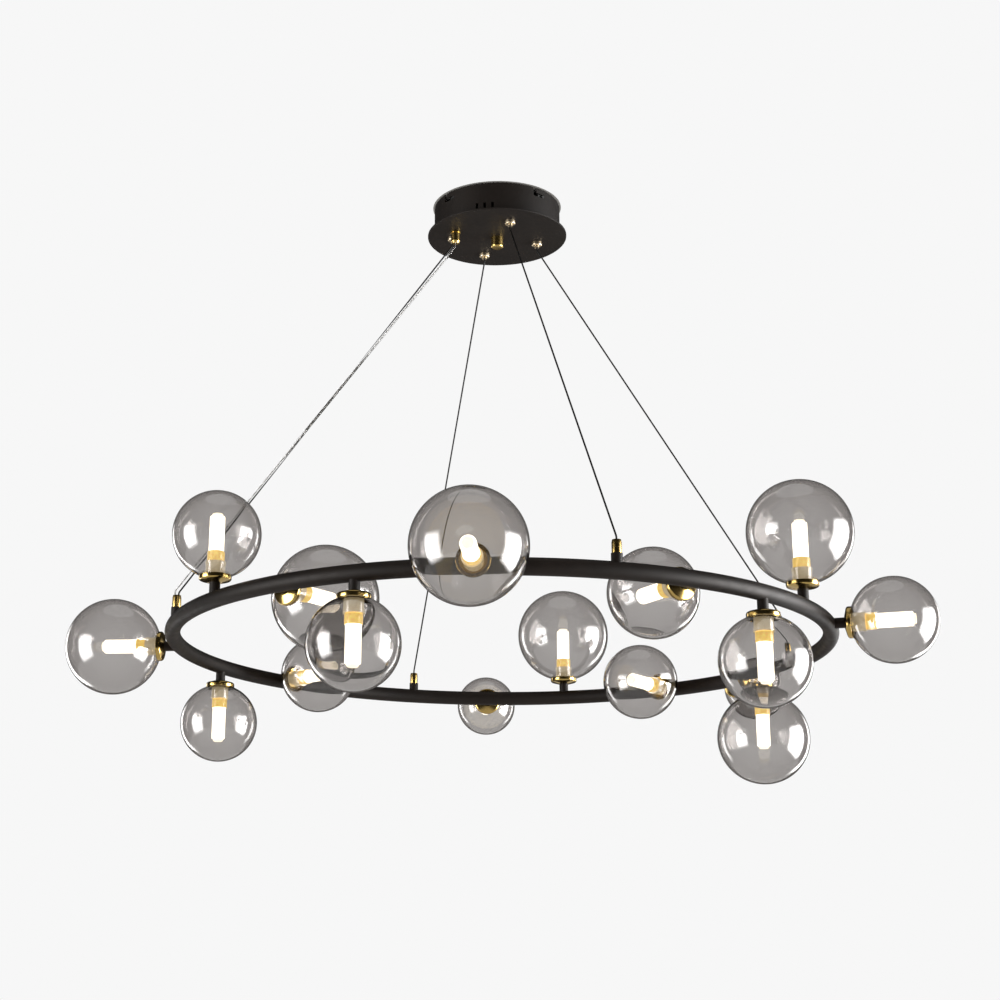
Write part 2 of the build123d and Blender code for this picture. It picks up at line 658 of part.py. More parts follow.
def gripper_body():
    """Gripper at the origin: flat round body, neck through the plate, room for the plunger."""
    bore = PLUNGER_RADIUS + RUN_CLEARANCE
    chamber = PLUNGER_FLANGE_RADIUS + RUN_CLEARANCE
    top = PLATE_BOTTOM + GRIPPER_NECK_LENGTH
    body = rod(GRIPPER_RADIUS, GRIPPER_BOTTOM, PLATE_BOTTOM)
    low_edge = body.edges().filter_by(GeomType.CIRCLE).sort_by(Axis.Z)[0]
    body = fillet(low_edge, GRIPPER_EDGE)
    body += rod(GRIPPER_NECK_RADIUS, PLATE_BOTTOM, top)
    body -= rod(bore, GRIPPER_BOTTOM - OVERRUN, GRIPPER_FLOOR)
    body -= rod(chamber, GRIPPER_FLOOR, top - GRIPPER_ROOF)
    return body - rod(WIRE_RADIUS + RUN_CLEARANCE, GRIPPER_FLOOR, top + OVERRUN)


def gripper_plunger():
    """Sprung sleeve that frees the wire when it is pushed up; its flange rests in the chamber."""
    floor = GRIPPER_FLOOR + FIT
    top = floor + PLUNGER_FLANGE_HEIGHT
    sleeve = rod(PLUNGER_RADIUS, PLUNGER_BOTTOM, top) + rod(PLUNGER_FLANGE_RADIUS, floor, top)
    return sleeve - rod(WIRE_RADIUS + RUN_CLEARANCE, PLUNGER_BOTTOM - OVERRUN, 0.0)


def gland_body():
    """Clear gland: a tall round body under the plate and a threaded neck through it."""
    body = rod(GLAND_RADIUS, PLATE_BOTTOM - GLAND_HEIGHT, PLATE_BOTTOM)
    body += rod(GLAND_RADIUS + GLAND_FLANGE, PLATE_BOTTOM - GLAND_FLANGE_HEIGHT, PLATE_BOTTOM)
    body += rod(GLAND_NECK_RADIUS, PLATE_BOTTOM, PLATE_BOTTOM + GLAND_NECK_LENGTH)
    bore = rod(CABLE_RADIUS + RUN_CLEARANCE, GLAND_BOTTOM, 0.0)
    return Pos(spot(GLAND_CIRCLE, GLAND_BEARING)) * (body - bore)


def gland_cap():
    """Tapered cap that clamps the cable at the gland's lower end."""
    top = PLATE_BOTTOM - GLAND_HEIGHT
    body = turned(
        [
            (0, top),
            (GLAND_RADIUS, top),
            (GLAND_RADIUS, top - GLAND_CAP_STRAIGHT),
            (GLAND_RADIUS - GLAND_CAP_TAPER, GLAND_BOTTOM),
            (0, GLAND_BOTTOM),
        ]
    )
    body -= rod(CABLE_RADIUS + FIT, GLAND_BOTTOM - OVERRUN, top + OVERRUN)
    return Pos(spot(GLAND_CIRCLE, GLAND_BEARING)) * body


def terminal_block():
    """Three-way block on the plate, with wire holes along X and screw holes from above."""
    length, width, height = BLOCK_SIZE
    block = Box(length, width, height, align=(Align.CENTER, Align.CENTER, Align.MIN))
    wire_hole = Rot(0, 90, 0) * Cylinder(CABLE_RADIUS + RUN_CLEARANCE, 2 * length)
    screw_hole = rod(BLOCK_SCREW_RADIUS, height - BLOCK_SCREW_DEPTH, height + OVERRUN)
    for way in (-1, 0, 1):
        y = way * width / 3
        block -= Pos(0, y, height / 2) * wire_hole
        for end in (-1, 1):
            block -= Pos(end * length / 4, y, 0) * screw_hole
    return Pos(BLOCK_PLACE[0], BLOCK_PLACE[1], PLATE_TOP) * block


def canopy():
    save("canopy_drum", [canopy_drum()])
    save("canopy_plate", [canopy_plate()])
    save("canopy_nuts", canopy_nuts())
    places = [Pos(spot(circle, bearing)) for circle, bearing, _, _ in grippers()]
    body = gripper_body()
    save("gripper_bodies", [place * body for place in places])
    plunger = gripper_plunger()
    for number, place in enumerate(places, start=1):
        save(f"gripper_plunger_{number}", [place * plunger])
    save("gland_body", [gland_body()])
    save("gland_cap", [gland_cap()])
    save("terminal_block", [terminal_block()])


# Ceiling bracket ----------------------------------------------------------------------------


def lug_face():
    """Radius of the lugs' outer faces, so that their corners clear the drum."""
    reach = DRUM_INNER - LUG_CLEARANCE
    return sqrt(reach**2 - (LUG_WIDTH / 2) ** 2)


def ceiling_bracket():
    """Pressed disc with four folded lugs, two screw slots, a cable hole and the stud's seat."""
    disc = rod(BRACKET_RADIUS, -BRACKET_THICKNESS, 0.0)
    face = lug_face()
    arm = Box(LUG_WIDTH, face, BRACKET_THICKNESS, align=(Align.CENTER, Align.MAX, Align.MAX))
    fold = Box(LUG_WIDTH, BRACKET_THICKNESS, LUG_DEPTH, align=(Align.CENTER, Align.MIN, Align.MAX))
    drill = Rot(90, 0, 0) * Cylinder(BAYONET_PIN_RADIUS, 4 * BRACKET_THICKNESS)
    hole = Pos(0, -face, -BAYONET_PIN_DROP) * drill
    for quarter in range(4):
        turn = Rot(0, 0, PIN_BEARING + 90 * quarter)
        disc += turn * arm
        disc += turn * Pos(0, -face, 0) * fold
        disc -= turn * hole
    slot = SlotOverall(SCREW_SLOT_LENGTH, SCREW_SLOT_WIDTH)
    for side in (-1, 1):
        place = Pos(side * SCREW_SLOT_SPACING / 2, 0, -2 * BRACKET_THICKNESS)
        disc -= place * extrude(slot, 4 * BRACKET_THICKNESS)
    low = -2 * BRACKET_THICKNESS
    disc -= Pos(0, CABLE_HOLE_OFFSET, 0) * rod(CABLE_HOLE_RADIUS, low, OVERRUN)
    disc -= rod(STUD_RADIUS, low, OVERRUN)
    return disc - rod(STUD_HEAD_RADIUS, -STUD_HEAD_HEIGHT, OVERRUN)


def bayonet_pin(quarter):
    """Pin riveted in a lug; its end stays just inside the drum's outer face."""
    inner = lug_face() - BRACKET_THICKNESS
    outer = DRUM_RADIUS - FIT
    pin = rod(BAYONET_PIN_RADIUS, inner, outer)
    return Rot(0, 0, PIN_BEARING + 90 * quarter) * Pos(0, 0, -BAYONET_PIN_DROP) * Rot(90, 0, 0) * pin


def centre_stud():
    return rod(STUD_HEAD_RADIUS, -STUD_HEAD_HEIGHT, 0.0) + rod(STUD_RADIUS, -STUD_LENGTH, 0.0)


def centre_nut():
    """Turned cap nut with a crowned lower edge and a blind bore for the stud."""
    top = PLATE_BOTTOM - FIT
    bottom = PLATE_BOTTOM - CENTRE_NUT_HEIGHT
    body = rod(CENTRE_NUT_RADIUS, bottom, top)
    low_edge = body.edges().filter_by(GeomType.CIRCLE).sort_by(Axis.Z)[0]
    body = fillet(low_edge, CENTRE_NUT_CROWN)
    return body - rod(STUD_RADIUS + FIT, -STUD_LENGTH - PIN_CLEARANCE, 0.0)


def stud_locknut():
    low = -BRACKET_THICKNESS - LOCKNUT_HEIGHT
    return nut(Vector(0, 0, 0), LOCKNUT_ACROSS, STUD_RADIUS + FIT, low, LOCKNUT_HEIGHT)


def ceiling():
    save("ceiling_bracket", [ceiling_bracket()])
    save("bayonet_pins", [bayonet_pin(quarter) for quarter in range(4)])
    save("centre_stud", [centre_stud()])
    save("stud_locknut", [stud_locknut()])
    save("centre_nut", [centre_nut()])


os.makedirs("parts", exist_ok=True)
ceiling()
canopy()
wires_and_cable()
ring_parts()
lamp_heads()
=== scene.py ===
import json
from math import asin, cos, pi, radians, sin, sqrt, tan

import bmesh
import bpy
from bpy.props import FloatProperty, FloatVectorProperty, PointerProperty
from mathutils import Matrix, Vector


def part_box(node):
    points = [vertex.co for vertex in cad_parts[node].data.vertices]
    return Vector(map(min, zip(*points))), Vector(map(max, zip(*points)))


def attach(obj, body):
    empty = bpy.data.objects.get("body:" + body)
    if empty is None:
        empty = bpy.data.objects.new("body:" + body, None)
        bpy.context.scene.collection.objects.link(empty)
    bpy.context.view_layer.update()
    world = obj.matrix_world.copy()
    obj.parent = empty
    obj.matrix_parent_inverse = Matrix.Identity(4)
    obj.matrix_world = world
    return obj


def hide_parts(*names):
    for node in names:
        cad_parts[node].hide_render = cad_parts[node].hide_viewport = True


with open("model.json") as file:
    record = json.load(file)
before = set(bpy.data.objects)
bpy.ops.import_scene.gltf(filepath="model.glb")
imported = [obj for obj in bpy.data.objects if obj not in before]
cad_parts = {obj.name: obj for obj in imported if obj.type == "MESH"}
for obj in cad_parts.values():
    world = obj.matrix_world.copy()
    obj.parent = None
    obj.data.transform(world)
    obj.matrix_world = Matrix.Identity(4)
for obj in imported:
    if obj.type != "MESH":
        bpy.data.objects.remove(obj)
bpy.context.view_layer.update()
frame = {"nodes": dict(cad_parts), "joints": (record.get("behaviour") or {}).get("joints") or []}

bl_info = {
    "name": "Orb chandelier",
    "version": (1, 0, 0),
    "blender": (4, 5, 0),
    "location": "3D View > Sidebar > Orb chandelier",
    "description": "Dresses the chandelier's frame: ring, lamp heads, suspension, canopy and studio",
    "category": "Object",
}

MM = 0.001
CHANDELIER = "chandelier"


# Colours and shared node helpers --------------------------------------------------------------


def linear(hex_colour):
    """Linear RGB from an sRGB hex colour."""
    values = [int(hex_colour[i : i + 2], 16) / 255 for i in (1, 3, 5)]
    return [v / 12.92 if v <= 0.04045 else ((v + 0.055) / 1.055) ** 2.4 for v in values]


def opaque(rgb):
    return (rgb[0], rgb[1], rgb[2], 1.0)


def add(tree, kind, settings=None, inputs=None):
    """Add a node, set its own settings, and set or link its inputs."""
    made = tree.nodes.new(kind)
    for name, value in (settings or {}).items():
        setattr(made, name, value)
    for name, value in (inputs or {}).items():
        if isinstance(value, bpy.types.NodeSocket):
            tree.links.new(value, made.inputs[name])
        else:
            made.inputs[name].default_value = value
    return made


# Properties -------------------------------------------------------------------------------------


def length(label, description, millimetres):
    return FloatProperty(
        name=label, description=description, default=millimetres * MM, min=0.0,
        unit="LENGTH", subtype="DISTANCE",
    )


def amount(label, description, default):
    return FloatProperty(name=label, description=description, default=default, min=0.0)


def colour(label, description, hex_colour):
    return FloatVectorProperty(
        name=label, description=description, default=linear(hex_colour), size=3, min=0.0, max=1.0,
        subtype="COLOR",
    )


class RingSizes(bpy.types.PropertyGroup):
    radius: length("Ring radius", "Centreline radius of the bent tube", 390.0)
    drop: length("Drop", "From the ceiling to the tube's centreline", 571.0)
    tube_radius: length("Tube radius", "Outer radius of the tube", 9.3)


class HeadSizes(bpy.types.PropertyGroup):
    back: length("Dish back", "From the tube's centreline to the back of the dish", 18.8)
    dish_radius: length("Dish radius", "Outer radius of the brass dish", 18.0)
    dish_depth: length("Dish depth", "From the dish's back to its rim", 8.2)
    dish_flat: length("Dish flat", "Radius of the dish's flat centre", 7.5)
    dish_cone: length("Dish cone", "Depth of the dish's conical part", 3.0)
    dish_wall: length("Dish wall", "Thickness of the spun brass", 1.1)
    nipple_radius: length("Nipple hole", "Radius of the hole in the dish", 4.05)
    glass_wall: length("Glass wall", "Thickness of the blown glass", 1.8)
    neck_radius: length("Neck radius", "Outer radius of the globe's neck", 16.4)
    neck_end: length("Neck end", "From the dish's back to the end of the neck", 5.0)
    rim_gap: length("Rim gap", "Between the dish's rim and the globe", 0.6)


class CapsuleSizes(bpy.types.PropertyGroup):
    base: length("Base place", "From the dish's back to the capsule's base", 23.8)
    base_radius: length("Base radius", "Radius of the amber base", 9.6)
    base_length: length("Base length", "Length of the amber base", 11.2)
    tube_radius: length("Tube radius", "Radius of the lit tube", 8.4)
    tube_length: length("Tube length", "Length of the lit tube", 40.0)
    tip_radius: length("Tip radius", "Radius of the stepped tip", 6.0)
    tip_length: length("Tip length", "Length of the stepped tip", 3.0)
    pin_length: length("Pin length", "Length of the two contact pins", 12.2)
    pin_pitch: length("Pin pitch", "Distance between the pins", 9.0)
    pin_thickness: length("Pin thickness", "Thickness of a flat pin", 0.8)
    pin_width: length("Pin width", "Width of a flat pin", 3.0)


class CableSizes(bpy.types.PropertyGroup):
    radius: length("Cable radius", "Outer radius of the clear cable", 1.6)
    core_radius: length("Core radius", "Radius of one stranded conductor", 0.3)
    core_offset: length("Core offset", "From the cable's middle to a conductor's", 0.4)
    core_pitch: length("Core pitch", "Length of one turn of the twisted conductors", 22.0)
    bend: length("Bend radius", "Radius of the cable's bends", 6.0)


class Finishes(bpy.types.PropertyGroup):
    powder: colour("Powder coat", "Black of the ring and the canopy", "#1F1813")
    brass: colour("Brass", "Polished brass of the dishes and collars", "#A68D54")
    nickel: colour("Nickel", "Plating of the grippers", "#AE9F86")
    smoke: colour("Smoked glass", "Tint that is left where the globes' glass is thick", "#5B422C")
    smoke_density: amount("Smoke density", "Absorption per metre of glass", 295.0)
    lit: colour("Lit tube", "Colour of the lit capsule", "#FFFBF2")
    amber: colour("Amber", "Phosphor colour of the capsule's base", "#E8C46A")
    lit_strength: amount("Lit strength", "Emission of the lit capsule", 3.0)


class Studio(bpy.types.PropertyGroup):
    background: colour("Background", "What the camera, gloss and glass see behind the object", "#F7F7F7")
    floor: colour("Floor", "Pale floor under the chandelier", "#F4F3F1")
    room_height: length("Room height", "From the ceiling to the floor", 2700.0)
    level: amount("Light level", "Strength of the even light all round", 1.0)
    box_strength: amount("Soft box", "Radiance of the soft boxes, before each one's share", 16.0)


# Finishes -----------------------------------------------------------------------------------------


def open_finish(name):
    """A new material with an empty tree, its object coordinates ready to use."""
    made = bpy.data.materials.new(name)
    made.use_nodes = True
    made.node_tree.nodes.clear()
    place = add(made.node_tree, "ShaderNodeTexCoord").outputs["Object"]
    return made, made.node_tree, place


def close_finish(tree, inputs):
    shader = add(tree, "ShaderNodeBsdfPrincipled", inputs=inputs)
    return add(tree, "ShaderNodeOutputMaterial", inputs={"Surface": shader.outputs["BSDF"]})


def drift(tree, place, size, low, high, detail=2.0):
    """A value that drifts between low and high over patches of a real size in metres."""
    noise = add(tree, "ShaderNodeTexNoise", inputs={"Vector": place, "Scale": 1 / size, "Detail": detail})
    return spread(tree, noise.outputs["Fac"], low, high)


def spread(tree, value, low, high):
    """A noise value, which mostly lies between 0.3 and 0.7, drawn out from low to high."""
    drawn = add(tree, "ShaderNodeMapRange", inputs={
        "Value": value, "From Min": 0.3, "From Max": 0.7, "To Min": low, "To Max": high,
    })
    return drawn.outputs["Result"]


def relief(tree, place, size, depth, detail=2.0):
    """A surface normal with bumps of a real size and depth in metres."""
    height = drift(tree, place, size, 0.0, 1.0, detail)
    return add(tree, "ShaderNodeBump", inputs={"Height": height, "Distance": depth}).outputs["Normal"]


def between(tree, factor, dark, light):
    """A colour between two colours."""
    mix = add(tree, "ShaderNodeMix", {"data_type": "RGBA"}, {0: factor, 6: opaque(dark), 7: opaque(light)})
    return mix.outputs[2]


def shade(rgb, factor):
    return [channel * factor for channel in rgb]


def black_powder_coat(finishes):
    """Polyester powder coat, sprayed and baked: near black, a soft sheen and a fine orange peel."""
    made, tree, place = open_finish("black_powder_coat")
    patches = drift(tree, place, 60 * MM, 0.0, 1.0)
    close_finish(tree, {
        "Base Color": between(tree, patches, shade(finishes.powder, 0.85), shade(finishes.powder, 1.15)),
        "Roughness": drift(tree, place, 8 * MM, 0.52, 0.6),
        "Specular IOR Level": 0.1,
        "Normal": relief(tree, place, 1.6 * MM, 0.02 * MM),
    })
    return made


def turned_value(tree, size, low, high):
    """A value that changes in fine rings round a turned piece, read from its own attribute."""
    along = add(tree, "ShaderNodeAttribute", {"attribute_name": "turning"})
    rings = add(
        tree, "ShaderNodeTexNoise", {"noise_dimensions": "1D"},
        {"W": along.outputs["Fac"], "Scale": 1 / size, "Detail": 3.0},
    )
    return spread(tree, rings.outputs["Fac"], low, high)


def spun_brass(finishes):
    """Brass, spun and polished: deep gold, sharp reflections broken by faint turning rings."""
    made, tree, place = open_finish("spun_brass")
    rings = turned_value(tree, 0.5 * MM, 0.0, 1.0)
    tarnish = drift(tree, place, 12 * MM, 0.0, 1.0)
    close_finish(tree, {
        "Base Color": between(tree, tarnish, shade(finishes.brass, 0.88), finishes.brass),
        "Metallic": 1.0,
        "Roughness": turned_value(tree, 0.5 * MM, 0.13, 0.22),
        "Normal": add(
            tree, "ShaderNodeBump", inputs={"Height": rings, "Distance": 0.01 * MM}
        ).outputs["Normal"],
    })
    return made


def turned_brass(finishes):
    """Brass bar, turned and polished: gold with a soft edge to its reflections."""
    made, tree, place = open_finish("turned_brass")
    tarnish = drift(tree, place, 5 * MM, 0.0, 1.0)
    close_finish(tree, {
        "Base Color": between(tree, tarnish, shade(finishes.brass, 0.85), finishes.brass),
        "Metallic": 1.0,
        "Roughness": drift(tree, place, 2 * MM, 0.18, 0.28),
    })
    return made


def satin_nickel(finishes):
    """Nickel plate on brass, satin: a warm pale grey with blurred reflections."""
    made, tree, place = open_finish("satin_nickel")
    cloud = drift(tree, place, 4 * MM, 0.0, 1.0)
    close_finish(tree, {
        "Base Color": between(tree, cloud, shade(finishes.nickel, 0.9), finishes.nickel),
        "Metallic": 1.0,
        "Roughness": drift(tree, place, 1 * MM, 0.3, 0.42),
    })
    return made


def zinc_plate(finishes):
    """Zinc plated steel, left dull: a mid grey with faint spangle."""
    made, tree, place = open_finish("zinc_plate")
    spangle = add(tree, "ShaderNodeTexVoronoi", inputs={"Vector": place, "Scale": 1 / (6 * MM)})
    tone = between(tree, spangle.outputs["Distance"], linear("#8F9294"), linear("#A6A9AB"))
    close_finish(tree, {
        "Base Color": tone,
        "Metallic": 1.0,
        "Roughness": drift(tree, place, 3 * MM, 0.38, 0.5),
    })
    return made


def black_zinc(finishes):
    """Zinc plated steel, passivated black: dark, with a faint shine. Its darkness is partly painted shade,
    chosen so that the bracket and pins seen through the canopy's slots stand dark.
    """
    made, tree, place = open_finish("black_zinc")
    cloud = drift(tree, place, 5 * MM, 0.0, 1.0)
    close_finish(tree, {
        "Base Color": between(tree, cloud, linear("#1E1D1C"), linear("#2A2928")),
        "Metallic": 0.3,
        "Roughness": drift(tree, place, 2 * MM, 0.5, 0.6),
        "Specular IOR Level": 0.2,
    })
    return made


def blown_smoke_glass(finishes):
    """Soda-lime glass blown in a smoke tint: clear warm grey, darker where the wall is seen edge on."""
    made, tree, place = open_finish("blown_smoke_glass")
    end = close_finish(tree, {
        "Base Color": opaque(linear("#FFFFFF")),
        "Transmission Weight": 1.0,
        "Roughness": drift(tree, place, 40 * MM, 0.0, 0.02),
        "IOR": 1.5,
    })
    tint = add(tree, "ShaderNodeVolumeAbsorption", inputs={
        "Color": opaque(finishes.smoke), "Density": finishes.smoke_density,
    })
    tree.links.new(tint.outputs["Volume"], end.inputs["Volume"])
    return made


def glazed_ceramic(finishes):
    """Steatite lamp holder with a clear glaze: warm white with a wet shine, and a painted glow, emission that
    stands in for the lamp's light coming through the ceramic.
    """
    made, tree, place = open_finish("glazed_ceramic")
    cloud = drift(tree, place, 5 * MM, 0.0, 1.0)
    close_finish(tree, {
        "Base Color": between(tree, cloud, linear("#D8CCB0"), linear("#E6DCC6")),
        "Roughness": drift(tree, place, 2 * MM, 0.12, 0.2),
        # Painted glow: the holder is no lamp; this emission stands in for the capsule's light shining through
        # it
        "Emission Color": between(tree, cloud, linear("#C9B488"), linear("#D9C8A0")),
        "Emission Strength": 0.8,
        "Specular IOR Level": 1.0,
        "Coat Weight": 1.0,
        "Coat Roughness": 0.04,
        "Coat IOR": 1.8,
    })
    return made


def lit_silicone(finishes):
    """Frosted silicone over rows of lit diodes: white hot, a little warmer between the rows."""
    made, tree, _ = open_finish("lit_silicone")
    rows = turned_value(tree, 3.5 * MM, 0.0, 1.0)
    close_finish(tree, {
        "Base Color": opaque(linear("#F2EEE4")),
        "Roughness": 0.45,
        "Emission Color": between(tree, rows, linear("#FFF1CF"), finishes.lit),
        "Emission Strength": finishes.lit_strength,
    })
    return made


def silicone_end(finishes):
    """Frosted silicone past the last diodes: cream, lit only by what the tube passes on."""
    made, tree, place = open_finish("silicone_end")
    cloud = drift(tree, place, 2 * MM, 0.0, 1.0)
    close_finish(tree, {
        "Base Color": opaque(linear("#F0E6CC")),
        "Roughness": 0.4,
        "Emission Color": between(tree, cloud, linear("#F6E9C8"), linear("#FFF8E6")),
        "Emission Strength": 2.0,
    })
    return made


def amber_phosphor(finishes):
    """Phosphor under clear silicone: honey yellow that glows from inside."""
    made, tree, place = open_finish("amber_phosphor")
    cloud = drift(tree, place, 3 * MM, 0.0, 1.0)
    close_finish(tree, {
        "Base Color": between(tree, cloud, shade(finishes.amber, 0.8), finishes.amber),
        "Roughness": 0.3,
        "Emission Color": between(tree, cloud, shade(finishes.amber, 0.7), finishes.amber),
        "Emission Strength": 1.7,
        "Coat Weight": 0.5,
    })
    return made


def black_coated_wire(finishes):
    """Steel rope in a black nylon coat: dark, slightly shiny, a little uneven over its strands."""
    made, tree, place = open_finish("black_coated_wire")
    close_finish(tree, {
        "Base Color": opaque(linear("#12100F")),
        "Roughness": drift(tree, place, 3 * MM, 0.45, 0.55),
        "Specular IOR Level": 0.1,
        "Normal": relief(tree, place, 0.5 * MM, 0.05 * MM),
    })
    return made


def clear_pvc(finishes):
    """Plasticised PVC, extruded: water clear, and at this thickness it hardly bends what is behind it."""
    made, tree, place = open_finish("clear_pvc")
    close_finish(tree, {
        "Base Color": opaque(linear("#FAFAFA")),
        "Transmission Weight": 1.0,
        "Roughness": drift(tree, place, 4 * MM, 0.0, 0.04),
        "IOR": 1.05,
        "Specular IOR Level": 0.1,
    })
    return made


def tinned_strand(finishes):
    """Tinned copper strands: dull grey threads."""
    made, tree, place = open_finish("tinned_strand")
    threads = drift(tree, place, 0.3 * MM, 0.0, 1.0)
    close_finish(tree, {
        "Base Color": between(tree, threads, linear("#5E5B57"), linear("#86827D")),
        "Metallic": 0.3,
        "Roughness": 0.5,
    })
    return made


def moulded_nylon(finishes):
    """Filled nylon, moulded: plain white with a dull surface."""
    made, tree, place = open_finish("moulded_nylon")
    cloud = drift(tree, place, 6 * MM, 0.0, 1.0)
    close_finish(tree, {
        "Base Color": between(tree, cloud, linear("#DCD9D2"), linear("#E8E6E0")),
        "Roughness": drift(tree, place, 1 * MM, 0.45, 0.55),
    })
    return made


FINISH_MAKERS = {
    maker.__name__: maker
    for maker in (
        black_powder_coat, spun_brass, turned_brass, satin_nickel, zinc_plate, black_zinc,
        blown_smoke_glass, glazed_ceramic, lit_silicone, silicone_end, amber_phosphor,
        black_coated_wire, clear_pvc, tinned_strand, moulded_nylon,
    )
}


def finish(name):
    """The material of that name, made on first use. The names differ from the frame's own materials."""
    if name not in bpy.data.materials:
        return FINISH_MAKERS[name](bpy.context.scene.chandelier_finishes)
    return bpy.data.materials[name]


# Places -------------------------------------------------------------------------------------------


def spot(radius, bearing, z=0.0):
    """A point at a bearing in degrees round the vertical axis; 0 is the front and 90 the right."""
    return Vector((radius * sin(radians(bearing)), -radius * cos(radians(bearing)), z))


def lamp_heads():
    """Number, place and globe radius of each lamp head. Local Z is the lamp's axis, from the dish's back."""
    ring, head = bpy.context.scene.chandelier_ring, bpy.context.scene.chandelier_heads
    found = []
    for joint in frame["joints"]:
        if not joint["name"].startswith("globe_"):
            continue
        number = int(joint["name"].split("_")[1])
        axis = Vector(joint["axis"]).normalized()
        low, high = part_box(f"glass_globe_{number}")
        middle = (low + high) / 2
        upright = abs(axis.z) > 0.5
        out = Vector((middle.x, middle.y, 0)).normalized()
        if not upright:
            out = axis if axis.dot(out) > 0 else -axis
        along = Vector((-out.y, out.x, 0))
        turn = Matrix((along, axis.cross(along), axis)).transposed().to_4x4()
        origin = out * ring.radius - Vector((0, 0, ring.drop)) + axis * head.back
        across = high.x - low.x if upright else high.z - low.z
        found.append((number, Matrix.Translation(origin) @ turn, round(across / MM) * MM / 2))
    return sorted(found, key=lambda item: item[0])


# Meshes -------------------------------------------------------------------------------------------


def rounded(corners, steps=4):
    """(radius, height) points from (radius, height, fillet) corners."""
    points = []
    for i, (r, z, fillet) in enumerate(corners):
        here = Vector((r, z))
        if not fillet:
            points.append(here)
            continue
        back = (Vector(corners[i - 1][:2]) - here).normalized()
        ahead = (Vector(corners[(i + 1) % len(corners)][:2]) - here).normalized()
        half = back.angle(ahead) / 2
        centre = here + (back + ahead).normalized() * (fillet / sin(half))
        start = here + back * (fillet / tan(half)) - centre
        end = here + ahead * (fillet / tan(half)) - centre
        for step in range(steps + 1):
            points.append(centre + start.lerp(end, step / steps).normalized() * fillet)
    return points


def lathe(name, profile, segments, closed=False):
    """Turned mesh about Z. A closed profile joins its end to its start; others end on the axis."""
    shape = bmesh.new()
    turning = shape.verts.layers.float.new("turning")
    rings, travelled = [], 0.0
    for i, (r, z) in enumerate(profile):
        travelled += (Vector((r, z)) - Vector(profile[i - 1])).length if i else 0.0
        count = segments if r > 1e-7 else 1
        turns = [2 * pi * k / segments for k in range(count)]
        ring = [shape.verts.new((r * cos(turn), r * sin(turn), z)) for turn in turns]
        for vert in ring:
            vert[turning] = travelled
        rings.append(ring)
    pairs = list(zip(rings, rings[1:] + rings[:1]))
    for first, second in pairs if closed else pairs[:-1]:
        for k in range(segments):
            n = (k + 1) % segments
            near = [first[k % len(first)], first[n % len(first)]]
            far = [second[n % len(second)], second[k % len(second)]]
            shape.faces.new(list(dict.fromkeys(near + far)))
    if shape.calc_volume(signed=True) < 0:
        bmesh.ops.reverse_faces(shape, faces=shape.faces)
    mesh = bpy.data.meshes.new(name)
    shape.to_mesh(mesh)
    shape.free()
    return smooth(mesh)


def smooth(mesh, angle=35.0):
    """Smooth shading that keeps the edges sharper than an angle in degrees."""
    mesh.polygons.foreach_set("use_smooth", [True] * len(mesh.polygons))
    mesh.set_sharp_from_angle(angle=radians(angle))
    return mesh


def placed(mesh, place):
    mesh.transform(place)
    return mesh


def piece(name, mesh, body, nodes, materials=()):
    """Show a finished mesh on a CAD body, in place of the nodes that it stands for."""
    for material in materials:
        mesh.materials.append(material)
    made = bpy.data.objects.new(name, mesh)
    bpy.context.scene.collection.objects.link(made)
    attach(made, body)
    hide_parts(*nodes)
    return made


# Geometry node trees --------------------------------------------------------------------------


def open_tree(name, inputs):
    """A geometry node group with named inputs, given as (name, socket type, default)."""
    tree = bpy.data.node_groups.new(name, "GeometryNodeTree")
    tree.interface.new_socket("Geometry", in_out="INPUT", socket_type="NodeSocketGeometry")
    for label, kind, default in inputs:
        socket = tree.interface.new_socket(label, in_out="INPUT", socket_type="NodeSocket" + kind)
        if default is not None:
            socket.default_value = default
    tree.interface.new_socket("Geometry", in_out="OUTPUT", socket_type="NodeSocketGeometry")
    return tree, tree.nodes.new("NodeGroupInput").outputs


def close_tree(tree, geometry, material, all_smooth=False):
    """End a tree with real geometry that carries its material."""
    real = add(tree, "GeometryNodeRealizeInstances", inputs={"Geometry": geometry}).outputs["Geometry"]
    if all_smooth:
        real = add(tree, "GeometryNodeSetShadeSmooth", inputs={"Geometry": real}).outputs["Geometry"]
    painted = add(tree, "GeometryNodeSetMaterial", inputs={"Geometry": real, "Material": material})
    add(tree, "NodeGroupOutput", inputs={"Geometry": painted.outputs["Geometry"]})


def grown(name, source_data, tree, values):
    """Plain mesh that a tree makes from source data. Inputs are set by identifier before evaluation."""
    source = bpy.data.objects.new(name + "_source", source_data)
    bpy.context.scene.collection.objects.link(source)
    modifier = source.modifiers.new(name, "NODES")
    modifier.node_group = tree
    for item in tree.interface.items_tree:
        if item.in_out == "INPUT" and item.name in values:
            modifier[item.identifier] = values[item.name]
    graph = bpy.context.evaluated_depsgraph_get()
    mesh = bpy.data.meshes.new_from_object(source.evaluated_get(graph), depsgraph=graph)
    mesh.name = name
    source.modifiers.remove(modifier)
    bpy.data.objects.remove(source)
    return mesh


